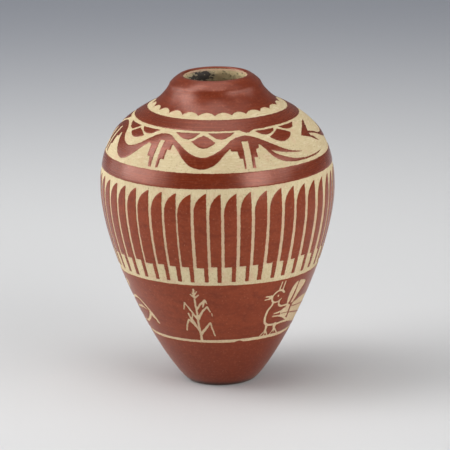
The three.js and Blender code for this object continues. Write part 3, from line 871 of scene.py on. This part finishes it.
arrow = joined(
    through([(58.4, 83.2), (62, 84.2), (67, 85.1), (72, 85.8), (77.5, 86.2)]),
    through([(77.5, 86.2), (74.5, 85.6), (71.8, 84.85), (68.6, 83.8)]),
    [(68.6, 83.8), (68.2, 83.4), (67.2, 83.0), (67.6, 82.2)],
    through([(67.6, 82.2), (70.4, 81.5), (74, 79.8)]),
    through([(74, 79.8), (69.6, 80.9), (66.6, 81.8), (62, 82.6), (58.4, 83.2)]))
legs = [inside_of(front_leg_left), inside_of(front_leg_right)]
for turn in (-35, tail_wave, *waves):
    legs += [inside_of(shifted(leg_left, turn)), inside_of(shifted(leg_right, turn))]
faces_made = lay_slip(
    "serpent_coat", ["serpent_slip"], ring_steps(0.24, 33),
    steps_of(arc_at(76.2), arc_at(86.9), 0.24),
    either(serpent_body, inside_of(jaws), inside_of(arrow), *legs), ring=True)
print("serpent:", faces_made, "faces")

# %% [markdown]
# ## Shoulder band and clouds
#
# A red band runs above the serpent. Under it a bank of three clouds hangs in each valley of
# the serpent's back: two flat ones against the hairline, and a deeper one below them that
# rises to a point. At one spot the band bulges into the hairline.

# %% Shoulder band
band_top = round_edge([(-180, 89.95), (-80, 90.1), (0, 90.0), (40, 89.85), (60, 89.7),
                       (80, 89.5), (120, 89.7)])
band_foot = round_edge([(-180, 87.5), (-80, 87.7), (-30, 87.55), (0, 87.4), (16, 87.38),
                        (18, 86.9), (20, 86.65), (22, 86.7), (24, 87.0), (26, 87.28),
                        (33, 87.25), (38, 87.35), (80, 87.3), (120, 87.4)])
faces_made = lay_slip(
    "shoulder_coat", ["shoulder_slip"], ring_steps(0.26, 27),
    steps_of(arc_at(86.2), arc_at(90.6), 0.24),
    lambda angle, arc: np.minimum(band_top(angle) - arc, arc - band_foot(angle)), ring=True)

# %% Clouds
flat_left = joined(through([(-27.8, 86.95), (-25, 86.3), (-22, 85.65), (-19, 85.4), (-16, 85.5),
                            (-13, 86.2), (-11, 86.95)]), [(-11, 86.95), (-27.8, 86.95)])
flat_right = joined(through([(-5.6, 86.95), (-3, 86.3), (0, 85.6), (4, 85.4), (8, 86.0),
                             (12.3, 86.95)]), [(12.3, 86.95), (-5.6, 86.95)])
deep = joined(through([(-15.3, 84.85), (-12, 85.7), (-8.4, 86.4)]),
              through([(-8.4, 86.4), (-5, 85.8), (-0.7, 84.6)]),
              through([(-0.7, 84.6), (-3, 83.8), (-6, 83.2), (-9, 83.15), (-12, 83.75),
                       (-15.3, 84.85)]))
clouds = [
    flat_left, flat_right, deep,
    joined(through([(-77, 86.95), (-73, 86.2), (-70, 85.7), (-66, 85.6), (-63, 86.2),
                    (-60.4, 86.95)]), [(-60.4, 86.95), (-77, 86.95)]),
    joined(through([(-57, 86.95), (-54, 86.1), (-50, 85.65), (-46, 85.7), (-43, 86.3),
                    (-40.4, 86.95)]), [(-40.4, 86.95), (-57, 86.95)]),
    joined(through([(-65, 85.0), (-62, 85.7), (-59.2, 86.4)]),
           through([(-59.2, 86.4), (-55, 85.9), (-50.4, 85.0)]),
           through([(-50.4, 85.0), (-53, 84.4), (-57, 84.0), (-61, 84.15), (-65, 85.0)])),
    joined(through([(26.2, 86.85), (29.2, 86.0), (32.6, 85.6), (36, 85.75), (39.4, 86.2),
                    (41.2, 86.85)]), [(41.2, 86.85), (26.2, 86.85)]),
    joined(through([(45.9, 86.85), (48.6, 86.2), (52.5, 85.8), (57.2, 85.9), (61.6, 86.85)]),
           [(61.6, 86.85), (45.9, 86.85)]),
    joined(through([(34.2, 84.9), (38, 85.5), (43.2, 86.45)]),
           through([(43.2, 86.45), (47.4, 85.8), (51.8, 84.85)]),
           through([(51.8, 84.85), (48.6, 83.85), (43.8, 83.15), (40, 83.3), (36.6, 84.05),
                    (34.2, 84.9)])),
]
clouds += [shifted(cloud, turn) for turn in (-100.7, -150.7, -200.7)
           for cloud in (flat_left, flat_right, deep)]
for index, cloud in enumerate(clouds):
    faces_made += lay_slip(
        f"cloud_coat_{index + 1:02d}", ["shoulder_slip"],
        steps_of(cloud[:, 0].min() - 0.8, cloud[:, 0].max() + 0.8, 0.2, 30),
        steps_of(arc_at(cloud[:, 1].min() - 0.3), arc_at(cloud[:, 1].max() + 0.3), 0.18),
        inside_of(cloud))
print("shoulder band and", len(clouds), "clouds:", faces_made, "faces")

# %% [markdown]
# ## Field with corn and birds
#
# The field is one wide red band. Corn plants and birds stand on the ground line. They are
# drawn with single strokes of a pointed tool, and the wings and tails are scraped flat.
# Each figure is written once, as strokes counted from its own middle, and used round the
# jar, so the side that the photo hides goes on in the same way.

# %% Corn
corn = [
    (0.44, 0.29, [(0, 17.8), (0.3, 20.5), (-0.3, 24), (0, 28), (-0.3, 33), (-0.2, 37.4)]),
    (0.29, 0.24, [(-0.2, 34.2), (-2.4, 35.5)]), (0.29, 0.24, [(-0.2, 34.2), (2.5, 35.4)]),
    (0.24, 0.18, [(-0.2, 35.2), (-1.6, 36.5)]), (0.24, 0.18, [(-0.2, 35.2), (1.6, 36.6)]),
    (0.4, 0.24, [(-0.2, 26.3), (-2.8, 28.4), (-5, 30.4), (-7.3, 32.3)]),
    (0.26, 0.2, [(-7.3, 32.3), (-8.6, 29.8)]),
    (0.32, 0.4, [(0.2, 30.0), (2.7, 31.8), (5.8, 33.5)]),
    (0.26, 0.26, [(4.2, 31.0), (5.9, 33.4), (6.9, 32.3)]),
    (0.4, 0.34, [(0.2, 26.3), (3.2, 29.0), (6.9, 31.1)]),
    (0.33, 0.24, [(6.9, 31.1), (8.7, 29.3)]), (0.18, 0.18, [(9.7, 28.6), (9.9, 27.5)]),
    (0.29, 0.26, [(-6.0, 28.3), (-4.8, 26.0), (-3.3, 24.5)]),
    (0.21, 0.19, [(-3.3, 28.0), (-4.3, 25.5)]), (0.26, 0.26, [(-4.8, 27.0), (-1.8, 24.0)]),
    (0.44, 0.29, [(-0.1, 22.0), (-2.8, 24.0), (-6.6, 26.0)]),
    (0.35, 0.26, [(-6.6, 26.0), (-8.6, 24.2), (-10.1, 22.0)]),
    (0.47, 0.32, [(0.2, 20.5), (4.2, 22.8), (8.2, 25.1)]),
    (0.32, 0.22, [(8.2, 25.1), (9.2, 23.0), (10.9, 20.2)]),
]

# %% Bird
bird = [
    (0.36, 0.32, [(4.8, 33.5), (2.8, 34.4), (0.6, 34.6), (-2.0, 34.1), (-3.9, 32.9),
                  (-3.9, 31.7), (-2.4, 30.8), (-0.3, 30.5), (2, 30.7), (3.8, 31.4)]),
    (0.42, 0.2, [(-4.2, 33.0), (-9.0, 33.2)]), (0.42, 0.2, [(-4.4, 32.3), (-9.2, 32.1)]),
    (0.35, 0.33, [(0.3, 32.8), (0.6, 32.6)]),
    (0.33, 0.26, [(0.2, 34.7), (1.2, 37.5)]), (0.33, 0.26, [(2.9, 34.4), (3.6, 37.6)]),
    (0.4, 0.46, [(-2.2, 30.7), (-3, 29.5), (-5, 28.0), (-5.7, 26.5), (-5.8, 25.0), (-5, 23.6),
                 (-2.5, 22.6), (1, 22.2), (7, 22.0), (14, 22.1), (20, 21.8)]),
    (0.36, 0.38, [(2.5, 30.6), (3, 29.4), (5.5, 28.6), (9, 28.5), (12.5, 28.3)]),
    (0.28, 0.5, [(1.0, 26.2), (7, 26.5), (13, 27.8)]),
    (0.28, 0.42, [(0.8, 25.3), (6, 25.0), (12, 24.0), (18, 22.4)]),
    (0.5, 0.42, [(-2.4, 22.4), (-2.4, 20.3)]), (0.32, 0.2, [(-2.2, 20.4), (-6, 18.6)]),
    (0.3, 0.2, [(-2.2, 20.3), (-2.2, 18.4)]), (0.32, 0.2, [(-2.1, 20.4), (1.0, 18.5)]),
    (0.9, 0.44, [(5.6, 21.9), (6.2, 20.4)]), (0.32, 0.2, [(6.2, 20.4), (3.9, 18.5)]),
    (0.3, 0.2, [(6.4, 20.4), (7.6, 18.4)]), (0.34, 0.22, [(6.6, 20.5), (11.8, 18.5)]),
]
wing = [(7, 26.2), (13.5, 28.3), (15.6, 28.0), (16.2, 24.0), (13.8, 23.6), (7.5, 25.0)]
wing_tips = [
    through([(10.8, 28.6), (10.2, 31), (10.6, 33), (12, 35), (14.5, 36.1), (16.2, 36.0),
             (15.4, 33), (13.7, 30), (12.5, 28.8), (10.8, 28.6)])[:-1],
    through([(14.8, 28.6), (16.3, 32), (17.3, 35.9), (20, 36.1), (25, 35.2), (25, 34),
             (21.8, 32), (19, 29.8), (17.4, 28.6), (14.8, 28.6)])[:-1],
]
tail_fan = through([(18, 28.4), (27, 29.4), (37, 29.2), (46, 28.5), (47, 24), (46, 19.6),
                    (37, 19.8), (27, 20.8), (19.2, 22.0), (17.4, 25.5), (18, 28.4)])[:-1]
left_red = [
    (0.13, 0.1, [(5, 25.75), (16.2, 25.25)]), (0.13, 0.22, [(18, 27.1), (28, 26.6), (46, 25.4)]),
    (0.15, 0.26, [(18, 24.9), (28, 24.0), (46, 22.0)]),
]
side_tail = [
    (0.44, 0.62, [(12, 28.2), (18, 28.5), (23, 29.5), (30, 30.1), (35, 29.4), (40, 27.5),
                  (44, 25.3), (46.8, 22.8)]),
    (0.36, 0.5, [(18, 21.8), (28, 21.6), (34, 22.7), (38, 24.0), (42, 25.8)]),
    (0.3, 0.5, [(18, 25.6), (26, 26.5), (33, 27.1)]),
    (0.5, 0.3, [(33, 27.1), (38, 26.6)]),
    (0.46, 0.8, [(41, 25.8), (43.6, 24.5)]),
]


# %% What a figure leaves of the slip
def clear_of(strokes):
    """The room outside strokes: the distance to the nearest one less its half width, which
    changes evenly along the stroke from its first number to its second."""
    ends = []
    for first, last, points in strokes:
        run = through(points, 4) if len(points) > 2 else np.asarray(points, float)
        ups = arc_at(run[:, 1])
        acrosses = np.radians(run[:, 0]) * radius_at(ups)
        halves = np.linspace(first, last, len(run))
        ends += zip(acrosses, ups, halves, acrosses[1:], ups[1:], halves[1:])

    def room(angle, arc):
        x, y = np.radians(angle) * radius_at(arc), arc
        clear = np.full(x.shape, 9.0)
        for x0, y0, half0, x1, y1, half1 in ends:
            dx, dy = x1 - x0, y1 - y0
            share = np.clip(((x - x0) * dx + (y - y0) * dy) / (dx * dx + dy * dy), 0, 1)
            away = np.hypot(x - x0 - share * dx, y - y0 - share * dy)
            clear = np.minimum(clear, away - half0 - share * (half1 - half0))
        return clear

    return room


def figure(strokes, scraped=(), kept=()):
    """The room outside a figure: clear of its strokes, and outside its scraped parts or on
    one of the red lines kept in them."""
    clear, lines = clear_of(strokes), clear_of(kept)
    parts = [inside_of(part) for part in scraped]

    def room(angle, arc):
        left = clear(angle, arc)
        red = -lines(angle, arc)
        for part in parts:
            left = np.minimum(left, np.maximum(-part(angle, arc), red))
        return left

    return room


corn_room = figure(corn)
bird_room = figure(bird, [wing, *wing_tips, tail_fan], left_red)
side_bird_room = figure(bird + side_tail, [wing, *wing_tips], left_red[:1])
figures = [(-15.2, 13, corn_room), (113, 13, corn_room), (225, 13, corn_room),
           (38, 50, bird_room), (152, 50, bird_room), (-98, 50, side_bird_room)]

# %% Field
field_foot = round_edge([(-180, 18.4), (-60, 18.35), (-20, 18.4), (0, 18.6), (30, 18.6),
                         (60, 18.3), (120, 18.4)])
field_top = round_edge([(-180, 38.6), (-80, 38.1), (-70, 38.2), (-60, 38.6), (-40, 38.85),
                        (0, 38.85), (20, 38.7), (40, 38.4), (60, 38.3), (110, 38.4)])


def field_room(angle, arc):
    """The lesser of the distances to the band's two edges and to the figures."""
    angle, arc = np.broadcast_arrays(angle, arc)
    left = np.minimum(field_top(angle) - arc, arc - field_foot(angle))
    for middle, reach, room in figures:
        turn = near(angle, middle)
        close = np.abs(turn) < reach
        left[close] = np.minimum(left[close], room(turn[close], arc[close]))
    return left


def field_angles():
    """Columns that stand close together on the figures and wide apart between them."""
    turns = np.linspace(-180, 180, 3601)
    width = np.full(turns.shape, 0.8)
    for middle, reach, step in ((-15.2, 12, 0.24), (113, 12, 0.32), (225, 12, 0.32),
                                (57, 31, 0.25), (171, 31, 0.33), (-79, 31, 0.28)):
        width = np.where(np.abs(near(turns, middle)) < reach, step, width)
    count = np.concatenate([[0], np.cumsum(np.radians(0.1) * 29 / width[1:])])
    return np.interp(np.linspace(0, count[-1], int(count[-1]), endpoint=False), count, turns)


faces_made = lay_slip("field_coat", ["field_slip"], field_angles(),
                      steps_of(arc_at(18.1), arc_at(39.1), 0.24), field_room, ring=True)
print("field:", faces_made, "faces")

# %% [markdown]
# ## Floor
#
# The jar stands on a wide pale floor that darkens to grey away from it. The darkening is
# painted shade, in place of the falloff of light on a sweep of paper when the lamps are
# close to the object. The floor is a disc of rings, and its colour is read from the
# distance to the jar.

# %% Floor
def lay_floor():
    """Rings of points whose radius grows from 0 to 3 m, closed round the axis."""
    radii, turns = np.array([0.001, 0.05, 0.2, 0.5, 1.0, 2.0, 3.0]), np.radians(np.arange(0, 360, 4))
    x, y = radii[None] * np.sin(turns)[:, None], -radii[None] * np.cos(turns)[:, None]
    points = np.stack([x, y, 0 * x - 0.00002], axis=-1).reshape(-1, 3)
    rows = len(radii)
    column, row = np.meshgrid(np.arange(len(turns)), np.arange(rows - 1), indexing="ij")
    after = (column + 1) % len(turns)
    faces = np.stack([column * rows + row, column * rows + row + 1,
                      after * rows + row + 1, after * rows + row], axis=-1).reshape(-1, 4)
    mesh = bpy.data.meshes.new("paper_floor")
    mesh.from_pydata(points.tolist(), [], faces.tolist() + [[i * rows for i in range(len(turns))]])
    mesh.update()
    floor = bpy.data.objects.new("paper_floor", mesh)
    bpy.context.scene.collection.objects.link(floor)
    return floor


paper = Finish("floor_paper")
distance = paper.node("ShaderNodeVectorMath", {"operation": "LENGTH"},
                      {0: paper.object_place}, output="Value")
# painted shade: the floor's colour falls from pale to grey with the distance from the jar, as light
# falls off away from the lamps
painted_floor_falloff = paper.mix(paper.rise(distance, 0.17, 0.67), paint(212, 212, 212),
                       paint(150, 153, 161))
paper.set({"Base Color": painted_floor_falloff, "Roughness": 0.7})
floor = lay_floor()
floor.data.materials.append(paper.material)

# %% [markdown]
# ## Camera and light
#
# The camera stands about 1.3 m away and looks down a little, through a long lens. Soft
# panels light the jar from both sides and from above. The low ones on the left and the
# one on the right in front give the two bright patches on the belt. The high one on the
# left and the small one behind it give the broad shine on the neck. A grey world fills the
# shade. Each lamp is hidden from the camera, but still shows in the burnished slip.

# %% Camera
yaw, pitch, roll = (math.radians(angle) for angle in (0.096, 14.54, -1.237))
ahead = np.array([math.sin(yaw) * math.cos(pitch), math.cos(yaw) * math.cos(pitch),
                  -math.sin(pitch)])
right = np.cross(ahead, [0, 0, 1])
right /= np.linalg.norm(right)
up = np.cross(right, ahead)
leaning_right = right * math.cos(roll) + up * math.sin(roll)
leaning_up = up * math.cos(roll) - right * math.sin(roll)
lens = bpy.data.cameras.new("photo_view")
lens.sensor_width, lens.lens = 36, 324.6
camera = bpy.data.objects.new("photo_view", lens)
place = np.eye(4)
place[:3] = np.column_stack([leaning_right, leaning_up, -ahead, [0.0, -1.2583, 0.3766]])
camera.matrix_world = Matrix(place.tolist())
bpy.context.scene.collection.objects.link(camera)
bpy.context.scene.camera = camera
print("the camera looks down", round(math.degrees(pitch), 1), "degrees")


# %% Lamps
def hang_lamp(name, turn, rise, away, width, height, watts):
    """A soft panel that faces the jar's shoulder, turned from the camera's side to the
    right by an angle, raised by another, and a distance away in metres."""
    turn, rise = math.radians(turn), math.radians(rise)
    back = np.array([math.sin(turn) * math.cos(rise), -math.cos(turn) * math.cos(rise),
                     math.sin(rise)])
    side = np.cross([0, 0, 1], back)
    side /= np.linalg.norm(side)
    panel = bpy.data.lights.new(name, "AREA")
    panel.shape, panel.size, panel.size_y, panel.energy = "RECTANGLE", width, height, watts
    lamp = bpy.data.objects.new(name, panel)
    place = np.eye(4)
    place[:3] = np.column_stack([side, np.cross(back, side), back,
                                 back * away + [0, 0, 0.07]])
    lamp.matrix_world = Matrix(place.tolist())
    lamp.visible_camera = False
    bpy.context.scene.collection.objects.link(lamp)
    print(name, "radiance", round(watts / (math.pi * width * height), 2))


hang_lamp("left_low_panel", -86, 12, 1.2, 0.9, 0.5, 6.1)
hang_lamp("left_back_panel", -118, 6, 1.2, 0.6, 0.4, 0.8)
hang_lamp("left_high_panel", -83, 41, 1.2, 0.66, 0.5, 5.1)
hang_lamp("left_rear_panel", -113, 30, 1.2, 0.42, 0.4, 1.05)
hang_lamp("left_strip", -58, 15, 1.2, 0.3, 0.6, 1.05)
hang_lamp("right_softbox", 40, 15, 1.2, 0.55, 0.66, 5.7)
hang_lamp("right_side_panel", 66, 16, 1.2, 0.4, 0.6, 1.45)
hang_lamp("right_fill", 84, 26, 1.4, 0.93, 0.62, 2.8)
hang_lamp("right_high_panel", 48, 38, 1.3, 0.5, 0.4, 1.4)
hang_lamp("right_top_panel", 85, 64, 1.3, 0.65, 0.65, 1.0)
hang_lamp("top_softbox", -94, 64, 1.3, 0.5, 0.5, 2.9)
hang_lamp("front_softbox", 0, 74, 1.3, 0.6, 0.45, 1.9)
hang_lamp("zenith_softbox", 180, 83, 1.3, 0.65, 0.65, 2.0)
hang_lamp("back_softbox", 180, 58, 1.3, 0.9, 0.6, 1.0)

# %% World and view
world = bpy.data.worlds.new("grey_room")
world.use_nodes = True
world.node_tree.nodes["Background"].inputs["Color"].default_value = paint(90, 92, 95)
bpy.context.scene.world = world
bpy.context.scene.view_settings.view_transform = "Standard"
